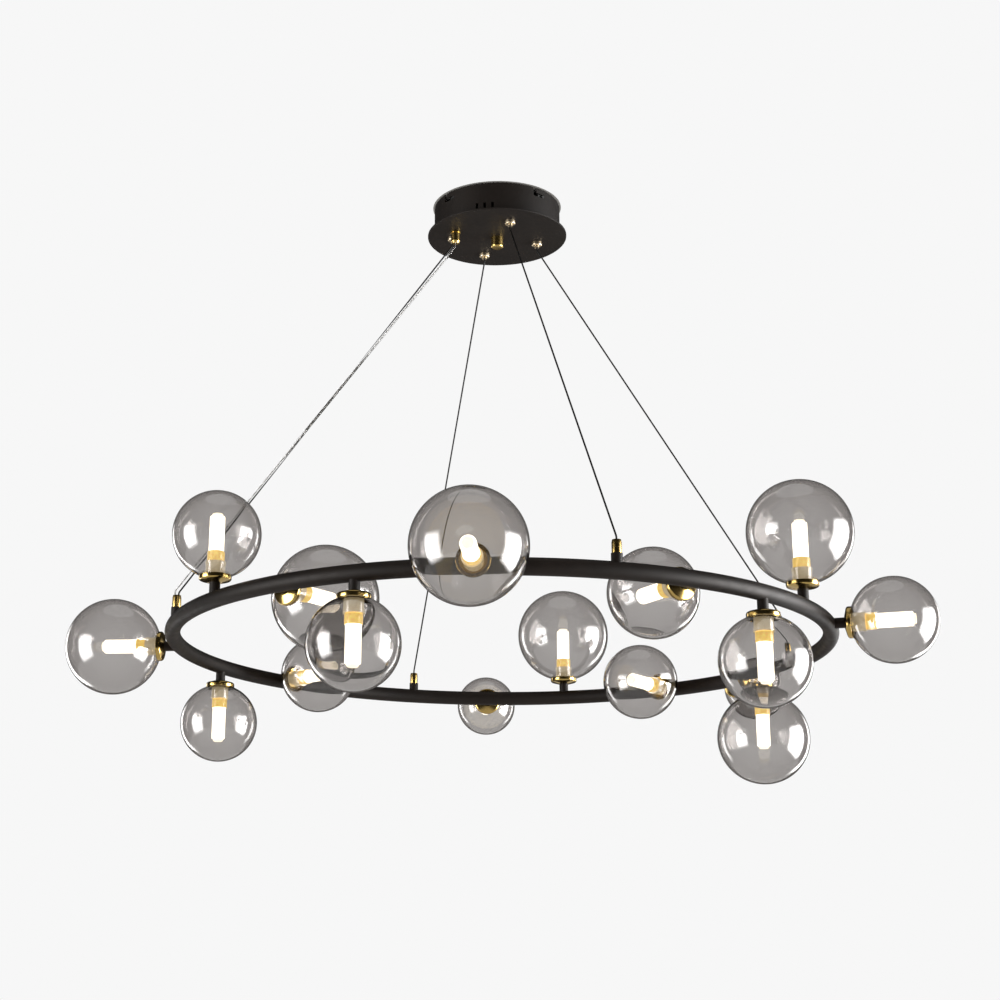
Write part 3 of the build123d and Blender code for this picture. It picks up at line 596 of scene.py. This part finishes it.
def bent_ring_tree():
    """A tube bent to a closed ring."""
    tree, given = open_tree("Bent ring", [
        ("Radius", "Float", 0.39), ("Tube radius", "Float", 0.0093), ("Drop", "Float", 0.571),
        ("Stretches", "Int", 256), ("Sides", "Int", 40), ("Material", "Material", None),
    ])
    circle = add(tree, "GeometryNodeCurvePrimitiveCircle", inputs={
        "Resolution": given["Stretches"], "Radius": given["Radius"],
    })
    down = add(tree, "ShaderNodeMath", {"operation": "MULTIPLY"}, {0: given["Drop"], 1: -1.0})
    place = add(tree, "ShaderNodeCombineXYZ", inputs={"Z": down.outputs[0]})
    lowered = add(tree, "GeometryNodeTransform", inputs={
        "Geometry": circle.outputs["Curve"], "Translation": place.outputs["Vector"],
    })
    section = add(tree, "GeometryNodeCurvePrimitiveCircle", inputs={
        "Resolution": given["Sides"], "Radius": given["Tube radius"],
    })
    tube = add(tree, "GeometryNodeCurveToMesh", inputs={
        "Curve": lowered.outputs["Geometry"], "Profile Curve": section.outputs["Curve"],
    })
    close_tree(tree, tube.outputs["Mesh"], given["Material"], all_smooth=True)
    return tree


def on_heads_tree():
    """One copy of a piece at every lamp head, turned by the head's own attribute."""
    tree, given = open_tree("On every lamp head", [
        ("Piece", "Object", None), ("Material", "Material", None),
    ])
    copied = add(tree, "GeometryNodeObjectInfo", inputs={"Object": given["Piece"]})
    turn = add(tree, "GeometryNodeInputNamedAttribute", {"data_type": "FLOAT_VECTOR"}, {"Name": "turn"})
    placed_copies = add(tree, "GeometryNodeInstanceOnPoints", inputs={
        "Points": given["Geometry"], "Instance": copied.outputs["Geometry"],
        "Rotation": turn.outputs["Attribute"],
    })
    close_tree(tree, placed_copies.outputs["Instances"], given["Material"])
    return tree


def cable_tree():
    """A round cover along a route with its corners rounded, or a twisted core inside it."""
    tree, given = open_tree("Round along a route", [
        ("Radius", "Float", 0.0016), ("Bend", "Float", 0.006), ("Offset", "Float", 0.0),
        ("Pitch", "Float", 0.02), ("Phase", "Float", 0.0), ("Step", "Float", 0.002),
        ("Sides", "Int", 16), ("Material", "Material", None),
    ])
    bent = add(tree, "GeometryNodeFilletCurve", {"mode": "POLY"}, {
        "Curve": given["Geometry"], "Radius": given["Bend"], "Count": 8,
    })
    even = add(tree, "GeometryNodeResampleCurve", {"mode": "LENGTH"}, {
        "Curve": bent.outputs["Curve"], "Length": given["Step"],
    })
    angle = add(tree, "ShaderNodeMath", {"operation": "DIVIDE"}, {
        0: add(tree, "GeometryNodeSplineParameter").outputs["Length"], 1: given["Pitch"],
    })
    turned = add(tree, "ShaderNodeMath", {"operation": "MULTIPLY_ADD"}, {
        0: angle.outputs[0], 1: 2 * pi, 2: given["Phase"],
    })
    normal = add(tree, "GeometryNodeInputNormal")
    tangent = add(tree, "GeometryNodeInputTangent")
    around = add(tree, "ShaderNodeVectorRotate", {"rotation_type": "AXIS_ANGLE"}, {
        "Vector": normal.outputs["Normal"], "Axis": tangent.outputs["Tangent"], "Angle": turned.outputs[0],
    })
    moved = add(tree, "ShaderNodeVectorMath", {"operation": "SCALE"}, {
        "Vector": around.outputs["Vector"], "Scale": given["Offset"],
    })
    twisted = add(tree, "GeometryNodeSetPosition", inputs={
        "Geometry": even.outputs["Curve"], "Offset": moved.outputs["Vector"],
    })
    section = add(tree, "GeometryNodeCurvePrimitiveCircle", inputs={
        "Resolution": given["Sides"], "Radius": given["Radius"],
    })
    tube = add(tree, "GeometryNodeCurveToMesh", inputs={
        "Curve": twisted.outputs["Geometry"], "Profile Curve": section.outputs["Curve"], "Fill Caps": True,
    })
    close_tree(tree, tube.outputs["Mesh"], given["Material"], all_smooth=True)
    return tree


def soft_edge_tree():
    """Smooth shading over a CAD node's curved faces, with its real edges kept sharp."""
    tree, given = open_tree("CAD shading", [
        ("Angle", "Float", radians(28.0)), ("Material", "Material", None),
    ])
    merged = add(tree, "GeometryNodeMergeByDistance", inputs={
        "Geometry": given["Geometry"], "Distance": 0.002 * MM,
    })
    edge = add(tree, "GeometryNodeInputMeshEdgeAngle")
    gentle = add(tree, "FunctionNodeCompare", {"data_type": "FLOAT", "operation": "LESS_THAN"}, {
        0: edge.outputs["Unsigned Angle"], 1: given["Angle"],
    })
    faces = add(tree, "GeometryNodeSetShadeSmooth", {"domain": "FACE"}, {
        "Geometry": merged.outputs["Geometry"],
    })
    edges = add(tree, "GeometryNodeSetShadeSmooth", {"domain": "EDGE"}, {
        "Geometry": faces.outputs["Geometry"], "Shade Smooth": gentle.outputs["Result"],
    })
    close_tree(tree, edges.outputs["Geometry"], given["Material"])
    return tree


# Operators ------------------------------------------------------------------------------------

CAD_FINISHES = {
    "zinc_plate": ["centre_stud", "stud_locknut", "canopy_nuts"],
    # The bracket and the bayonet pins are black partly as painted shade for the dark inside of the canopy
    "black_zinc": ["ceiling_bracket", "bayonet_pins"],
    "satin_nickel": ["gripper_bodies"] + [f"gripper_plunger_{n}" for n in (1, 2, 3, 4)],
    "black_powder_coat": ["canopy_drum", "canopy_plate", "bush_bases", "lamp_stems"],
    "turned_brass": ["bush_collars", "centre_nut", "gland_body", "gland_cap", "contact_clips"],
    "moulded_nylon": ["terminal_block", "ring_harness"],
    # The lamp holders carry a painted glow for the light of their capsules
    "glazed_ceramic": ["lamp_holders"],
    "black_coated_wire": ["suspension_wires"],
}


class CHANDELIER_OT_cad_finishes(bpy.types.Operator):
    """Give the carried-over CAD nodes their finishes and smooth shading"""

    bl_idname = "chandelier.cad_finishes"
    bl_label = "CAD finishes"

    def execute(self, context):
        tree = soft_edge_tree()
        for name, nodes in CAD_FINISHES.items():
            for node in nodes:
                carried = frame["nodes"][node]
                carried.data.materials.clear()
                carried.data.materials.append(finish(name))
                modifier = carried.modifiers.new("CAD shading", "NODES")
                modifier.node_group = tree
                for item in tree.interface.items_tree:
                    if item.in_out == "INPUT" and item.name == "Material":
                        modifier[item.identifier] = finish(name)
        return {"FINISHED"}


class CHANDELIER_OT_ring(bpy.types.Operator):
    """Bend the black tube to its ring"""

    bl_idname = "chandelier.ring"
    bl_label = "Ring"

    def execute(self, context):
        ring = context.scene.chandelier_ring
        mesh = grown("ring", bpy.data.meshes.new("ring_start"), bent_ring_tree(), {
            "Radius": ring.radius, "Tube radius": ring.tube_radius, "Drop": ring.drop,
            "Material": finish("black_powder_coat"),
        })
        piece("ring", mesh, CHANDELIER, ["ring_tube"])
        return {"FINISHED"}


class CHANDELIER_OT_dishes(bpy.types.Operator):
    """Spin one brass dish and set a copy on every lamp head"""

    bl_idname = "chandelier.dishes"
    bl_label = "Brass dishes"

    def execute(self, context):
        head = context.scene.chandelier_heads
        wall, bore = head.dish_wall, head.nipple_radius
        inner = head.dish_radius - wall
        corner = head.dish_cone + wall
        profile = rounded([
            (bore, 0, 0), (head.dish_flat, 0, 2.5 * MM), (head.dish_radius, head.dish_cone, 2.5 * MM),
            (head.dish_radius, head.dish_depth, 0.5 * MM), (inner, head.dish_depth, 0.5 * MM),
            (inner, corner, 1.4 * MM), (head.dish_flat, wall, 2.5 * MM), (bore, wall, 0),
        ])
        dish = bpy.data.objects.new("dish_pattern", lathe("dish_pattern", profile, 72, closed=True))
        points = bpy.data.meshes.new("dish_places")
        heads = lamp_heads()
        points.from_pydata([place.translation for _, place, _ in heads], [], [])
        turns = points.attributes.new("turn", "FLOAT_VECTOR", "POINT")
        turns.data.foreach_set("vector", [a for _, place, _ in heads for a in place.to_euler()])
        mesh = grown("brass_dishes", points, on_heads_tree(), {
            "Piece": dish, "Material": finish("spun_brass"),
        })
        bpy.data.objects.remove(dish)
        piece("spun_dishes", mesh, CHANDELIER, ["brass_dishes"])
        return {"FINISHED"}


class CHANDELIER_OT_globes(bpy.types.Operator):
    """Blow the sixteen smoked glass globes"""

    bl_idname = "chandelier.globes"
    bl_label = "Glass globes"

    def execute(self, context):
        head = context.scene.chandelier_heads
        for number, place, radius in lamp_heads():
            mesh = placed(lathe(f"globe_{number}", globe_profile(head, radius), 96), place)
            piece(
                f"smoked_globe_{number}", mesh, f"glass_globe_{number}",
                [f"glass_globe_{number}"], [finish("blown_smoke_glass")],
            )
        return {"FINISHED"}


def arc(centre, radius, start, end, steps):
    """(radius, height) points on a circle round the axis, by angles from the axis."""
    angles = [start + (end - start) * k / steps for k in range(steps + 1)]
    return [Vector((radius * sin(angle), centre + radius * cos(angle))) for angle in angles]


def globe_profile(head, radius):
    """Outer wall from the pole to the neck, round the fire-polished end, and back up the inner wall."""
    hollow, bore = radius - head.glass_wall, head.neck_radius - head.glass_wall
    centre = head.dish_depth + head.rim_gap + sqrt(radius**2 - head.dish_radius**2)
    outer_end, inner_end = pi - asin(head.neck_radius / radius), pi - asin(bore / hollow)
    outer = arc(centre, radius, 0.0, outer_end, 60)
    inner = arc(centre, hollow, inner_end, 0.0, 56)
    outer[0].x = inner[-1].x = 0.0
    lip = head.glass_wall * 0.4
    neck = rounded([
        (*outer[-1], 0), (head.neck_radius, head.neck_end, lip), (bore, head.neck_end, lip), (*inner[0], 0),
    ])
    return outer + neck[1:-1] + inner


class CHANDELIER_OT_capsules(bpy.types.Operator):
    """Make the sixteen lit capsules"""

    bl_idname = "chandelier.capsules"
    bl_label = "Lit capsules"

    def execute(self, context):
        size = context.scene.chandelier_capsules
        for number, place, _ in lamp_heads():
            mesh = placed(capsule_mesh(f"capsule_{number}", size), place)
            piece(
                f"lit_capsule_{number}", mesh, CHANDELIER, [f"led_capsule_{number}"],
                [finish(name) for name in ("amber_phosphor", "lit_silicone", "satin_nickel", "silicone_end")],
            )
        return {"FINISHED"}


def capsule_mesh(name, size):
    """Amber base, lit tube with a stepped tip, and two flat pins."""
    shoulder = size.base + size.base_length
    end = shoulder + size.tube_length
    tip = end + size.tip_length
    profile = rounded([
        (0, size.base, 0), (size.base_radius, size.base, 0.8 * MM), (size.base_radius, shoulder, 1.0 * MM),
        (size.tube_radius, shoulder, 0), (size.tube_radius, end, 1.4 * MM), (size.tip_radius, end, 0),
        (size.tip_radius, tip, 1.2 * MM), (0, tip, 0),
    ])
    mesh = lathe(name, profile, 48)
    shape = bmesh.new()
    shape.from_mesh(mesh)
    for face in shape.faces:
        height = face.calc_center_median().z
        face.material_index = 3 if height > end + 0.1 * MM else int(height > shoulder - 0.1 * MM)
    low = size.base + 1 * MM - size.pin_length
    for side in (-1, 1):
        place = Matrix.Translation((side * size.pin_pitch / 2, 0, low + size.pin_length / 2))
        scale = Matrix.Diagonal((size.pin_thickness, size.pin_width, size.pin_length, 1))
        pin = bmesh.ops.create_cube(shape, size=1.0, matrix=place @ scale)
        faces = {face for vert in pin["verts"] for face in vert.link_faces}
        for face in faces:
            face.material_index = 2
        edges = list({edge for face in faces for edge in face.edges})
        bmesh.ops.bevel(shape, geom=edges, offset=0.2 * MM, segments=2, affect="EDGES", profile=0.5)
    shape.to_mesh(mesh)
    shape.free()
    return smooth(mesh)


class CHANDELIER_OT_cable(bpy.types.Operator):
    """Run the clear cable with its two twisted cores from the terminal block to the ring"""

    bl_idname = "chandelier.cable"
    bl_label = "Clear cable"

    def execute(self, context):
        size = context.scene.chandelier_cable
        tree = cable_tree()
        cover = grown("clear_cable", cable_route(context), tree, {
            "Radius": size.radius, "Bend": size.bend, "Offset": 0.0, "Material": finish("clear_pvc"),
        })
        piece("clear_cable", cover, CHANDELIER, ["power_cable"])
        for number, phase in ((1, 0.0), (2, pi)):
            core = grown(f"cable_core_{number}", cable_route(context), tree, {
                "Radius": size.core_radius, "Bend": size.bend, "Offset": size.core_offset,
                "Pitch": size.core_pitch, "Phase": phase, "Sides": 10, "Material": finish("tinned_strand"),
            })
            piece(f"cable_core_{number}", core, CHANDELIER, [])
        return {"FINISHED"}


LEFT_BUSH_BEARING = -72.2  # degrees
BESIDE_WIRE = 2.3 * MM  # how far outside the wire the cable enters the bush
CABLE_LEAD = 5 * MM  # straight length before a bend


def cable_route(context):
    """The cable's route as one open line: block, gland, and the left bush."""
    ring = context.scene.chandelier_ring
    low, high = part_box("terminal_block")
    gland_low, gland_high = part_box("gland_body")
    cap_low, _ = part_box("gland_cap")
    gland = (gland_low + gland_high) / 2
    collar_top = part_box("bush_collars")[1].z
    foot = spot(ring.radius + BESIDE_WIRE, LEFT_BUSH_BEARING)
    middle = (low + high) / 2
    points = [
        Vector((low.x, middle.y, middle.z)),
        Vector((low.x - 9 * MM, middle.y, middle.z + 6 * MM)),
        Vector((gland.x, gland.y, gland_high.z + 14 * MM)),
        Vector((gland.x, gland.y, cap_low.z - CABLE_LEAD)),
        Vector((foot.x, foot.y, collar_top + CABLE_LEAD)),
        Vector((foot.x, foot.y, -ring.drop + 1.1 * MM)),
    ]
    route = bpy.data.curves.new("cable_route", "CURVE")
    route.dimensions = "3D"
    line = route.splines.new("POLY")
    line.points.add(len(points) - 1)
    for point, place in zip(line.points, points):
        point.co = (*place, 1.0)
    return route


class CHANDELIER_OT_stage(bpy.types.Operator):
    """Set the floor, the light and the camera"""

    bl_idname = "chandelier.stage"
    bl_label = "Stage"

    def execute(self, context):
        studio = context.scene.chandelier_studio
        context.scene.view_settings.view_transform = "Standard"
        lay_floor(studio)
        light_world(studio)
        hang_dark_cloth()
        close_canopy()
        for box in SOFT_BOXES:
            hang_soft_box(studio, *box)
        set_camera(context)
        return {"FINISHED"}


def lay_floor(studio):
    """Pale matt floor, wide enough for every view, and clear when seen from under it."""
    made, tree, place = open_finish("pale_floor")
    cloud = drift(tree, place, 400 * MM, 0.0, 1.0)
    paint = add(tree, "ShaderNodeBsdfPrincipled", inputs={
        "Base Color": between(tree, cloud, shade(studio.floor, 0.99), studio.floor),
        "Roughness": 0.9,
        "Specular IOR Level": 0.1,
    })
    one_sided(tree, paint.outputs["BSDF"])
    reach = 30.0
    mesh = bpy.data.meshes.new("floor")
    corners = [(-reach, -reach), (reach, -reach), (reach, reach), (-reach, reach)]
    mesh.from_pydata([(x, y, -studio.room_height) for x, y in corners], [], [(0, 1, 2, 3)])
    mesh.materials.append(made)
    floor = bpy.data.objects.new("floor", mesh)
    bpy.context.scene.collection.objects.link(floor)


def light_world(studio):
    """Even white light, and the background that the camera, gloss and glass see."""
    world = bpy.data.worlds.new("studio")
    bpy.context.scene.world = world
    world.use_nodes = True
    tree = world.node_tree
    tree.nodes.clear()
    path = add(tree, "ShaderNodeLightPath")
    seen = add(tree, "ShaderNodeMath", {"operation": "ADD", "use_clamp": True}, {
        0: path.outputs["Is Camera Ray"], 1: path.outputs["Is Glossy Ray"],
    })
    shown = add(tree, "ShaderNodeMath", {"operation": "ADD", "use_clamp": True}, {
        0: seen.outputs[0], 1: path.outputs["Is Transmission Ray"],
    })
    tone = add(tree, "ShaderNodeMix", {"data_type": "RGBA"}, {
        0: shown.outputs[0], 6: opaque([studio.level] * 3), 7: opaque(studio.background),
    })
    sky = add(tree, "ShaderNodeBackground", inputs={"Color": tone.outputs[2], "Strength": 1.0})
    add(tree, "ShaderNodeOutputWorld", inputs={"Surface": sky.outputs["Background"]})


BOX_DISTANCE, BOX_HEIGHT = 3.0, -0.9  # metres from the lamp's axis, and above the ceiling
RING_MIDDLE = Vector((0, 0, -0.57))
SOFT_BOXES = (  # name, bearing in degrees, width and height in metres, share of the strength
    ("left", -65.0, 2.3, 2.9, 1.1),
    ("right", 87.0, 3.0, 3.1, 2.4),
    ("back_left", -135.0, 0.8, 3.2, 0.4),
    ("back_right", 138.0, 0.8, 3.2, 0.4),
)


def hang_soft_box(studio, name, bearing, width, height, share):
    """Tall soft box, bright in its middle. It shows in gloss and glass and hardly lights matt surfaces."""
    lamp = bpy.data.lights.new(f"soft_box_{name}", "AREA")
    lamp.shape = "RECTANGLE"
    lamp.size, lamp.size_y = width, height
    lamp.energy = pi * width * height * studio.box_strength * share
    lamp.use_nodes = True
    tree = lamp.node_tree
    tree.nodes.clear()
    path = add(tree, "ShaderNodeLightPath")
    direct = add(tree, "ShaderNodeMath", {"operation": "SUBTRACT", "use_clamp": True}, {
        0: 1.0, 1: path.outputs["Diffuse Depth"],
    })
    face = add(tree, "ShaderNodeSeparateXYZ", inputs={
        "Vector": add(tree, "ShaderNodeNewGeometry").outputs["Parametric"],
    })
    strength = direct.outputs[0]
    for side in ("X", "Y"):
        off_centre = add(tree, "ShaderNodeMath", {"operation": "SUBTRACT"}, {0: face.outputs[side], 1: 0.5})
        reach = add(tree, "ShaderNodeMath", {"operation": "ABSOLUTE"}, {0: off_centre.outputs[0]})
        fade = add(tree, "ShaderNodeMapRange", {"interpolation_type": "SMOOTHSTEP"}, {
            "Value": reach.outputs[0], "From Min": 0.5, "From Max": 0.22, "To Min": 0.0, "To Max": 1.0,
        })
        strength = add(tree, "ShaderNodeMath", {"operation": "MULTIPLY"}, {
            0: strength, 1: fade.outputs["Result"],
        }).outputs[0]
    glow = add(tree, "ShaderNodeEmission", inputs={"Strength": strength})
    add(tree, "ShaderNodeOutputLight", inputs={"Surface": glow.outputs["Emission"]})
    box = bpy.data.objects.new(lamp.name, lamp)
    bpy.context.scene.collection.objects.link(box)
    box.location = spot(BOX_DISTANCE, bearing, BOX_HEIGHT)
    box.rotation_euler = (RING_MIDDLE - box.location).to_track_quat("-Z", "Y").to_euler()
    box.visible_camera = False
    box.visible_diffuse = False


def one_sided(tree, surface):
    """End a stage material so that only the front of its faces shows."""
    side = add(tree, "ShaderNodeNewGeometry").outputs["Backfacing"]
    clear = add(tree, "ShaderNodeBsdfTransparent")
    shown = add(tree, "ShaderNodeMixShader", inputs={0: side, 1: surface, 2: clear.outputs["BSDF"]})
    add(tree, "ShaderNodeOutputMaterial", inputs={"Surface": shown.outputs["Shader"]})


CLOTH_PROFILE = [(5.0, -2.65), (5.0, 1.0), (2.0, 4.0)]  # radius and height in metres


def hang_dark_cloth():
    """Dark cloth round the studio, off camera, that draws the edges of the glass and the metal."""
    made, tree, place = open_finish("studio_cloth")
    close_finish(tree, {
        "Base Color": between(
            tree, drift(tree, place, 300 * MM, 0.0, 1.0), linear("#2B2A29"), linear("#383635")
        ),
        "Roughness": 1.0,
        "Specular IOR Level": 0.0,
    })
    mesh = lathe("dark_cloth", CLOTH_PROFILE, 64)
    mesh.materials.append(made)
    cloth = bpy.data.objects.new("dark_cloth", mesh)
    bpy.context.scene.collection.objects.link(cloth)
    cloth.visible_camera = cloth.visible_diffuse = cloth.visible_transmission = False
    cloth.visible_volume_scatter = cloth.visible_shadow = False


def close_canopy():
    """The patch of ceiling that shuts the canopy's top. Only its underside shows, and light passes it."""
    made, tree, place = open_finish("ceiling_paint")
    paint = add(tree, "ShaderNodeBsdfDiffuse", inputs={
        "Color": between(
            tree, drift(tree, place, 100 * MM, 0.0, 1.0), linear("#B9B7B3"), linear("#C4C2BE")
        ),
    })
    one_sided(tree, paint.outputs["BSDF"])
    low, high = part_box("canopy_drum")
    shape = bmesh.new()
    bmesh.ops.create_circle(shape, cap_ends=True, segments=96, radius=(high.x - low.x) / 2 + 2 * MM)
    mesh = bpy.data.meshes.new("ceiling_patch")
    shape.to_mesh(mesh)
    shape.free()
    mesh.transform(Matrix.Translation((0, 0, 1 * MM)) @ Matrix.Rotation(pi, 4, "X"))
    mesh.materials.append(made)
    patch = bpy.data.objects.new("ceiling_patch", mesh)
    bpy.context.scene.collection.objects.link(patch)
    patch.visible_diffuse = patch.visible_shadow = False


CAMERA_PAN, CAMERA_TILT, CAMERA_ROLL = 0.0566, 0.2994, 0.0129  # radians; the camera looks up
CAMERA_PLACE = (0.0, -2.148, -1.0032)


def set_camera(context):
    """Camera at the photograph's place, in front of the ring and below it."""
    lens = bpy.data.cameras.new("camera")
    lens.lens = 65.1
    lens.shift_x, lens.shift_y = 0.10, -0.04
    lens.clip_start, lens.clip_end = 0.01, 200.0
    camera = bpy.data.objects.new("camera", lens)
    context.scene.collection.objects.link(camera)
    pan = Matrix.Rotation(CAMERA_PAN, 3, "Z")
    tilt = Matrix.Rotation(pi / 2 + CAMERA_TILT, 3, "X")
    camera.rotation_euler = (pan @ tilt @ Matrix.Rotation(CAMERA_ROLL, 3, "Z")).to_euler()
    camera.location = CAMERA_PLACE
    context.scene.camera = camera


class CHANDELIER_PT_panel(bpy.types.Panel):
    """Steps of the chandelier, in order"""

    bl_idname = "CHANDELIER_PT_panel"
    bl_label = "Orb chandelier"
    bl_space_type = "VIEW_3D"
    bl_region_type = "UI"
    bl_category = "Orb chandelier"

    def draw(self, context):
        for step in STEPS:
            self.layout.operator(step.bl_idname)
        for name in GROUPS:
            settings = getattr(context.scene, name)
            box = self.layout.box()
            for key in settings.bl_rna.properties.keys():
                if key not in ("rna_type", "name"):
                    box.prop(settings, key)


STEPS = (
    CHANDELIER_OT_stage,
    CHANDELIER_OT_cad_finishes,
    CHANDELIER_OT_ring,
    CHANDELIER_OT_dishes,
    CHANDELIER_OT_globes,
    CHANDELIER_OT_capsules,
    CHANDELIER_OT_cable,
)
GROUPS = {
    "chandelier_ring": RingSizes,
    "chandelier_heads": HeadSizes,
    "chandelier_capsules": CapsuleSizes,
    "chandelier_cable": CableSizes,
    "chandelier_finishes": Finishes,
    "chandelier_studio": Studio,
}


def register():
    for group in GROUPS.values():
        bpy.utils.register_class(group)
    for name, group in GROUPS.items():
        setattr(bpy.types.Scene, name, PointerProperty(type=group))
    for step in (*STEPS, CHANDELIER_PT_panel):
        bpy.utils.register_class(step)


def unregister():
    for step in reversed((*STEPS, CHANDELIER_PT_panel)):
        bpy.utils.unregister_class(step)
    for name in GROUPS:
        delattr(bpy.types.Scene, name)
    for group in GROUPS.values():
        bpy.utils.unregister_class(group)


def main():
    register()
    bpy.ops.chandelier.stage()
    bpy.ops.chandelier.cad_finishes()
    bpy.ops.chandelier.ring()
    bpy.ops.chandelier.dishes()
    bpy.ops.chandelier.globes()
    bpy.ops.chandelier.capsules()
    bpy.ops.chandelier.cable()


if __name__ == "__main__":
    main()
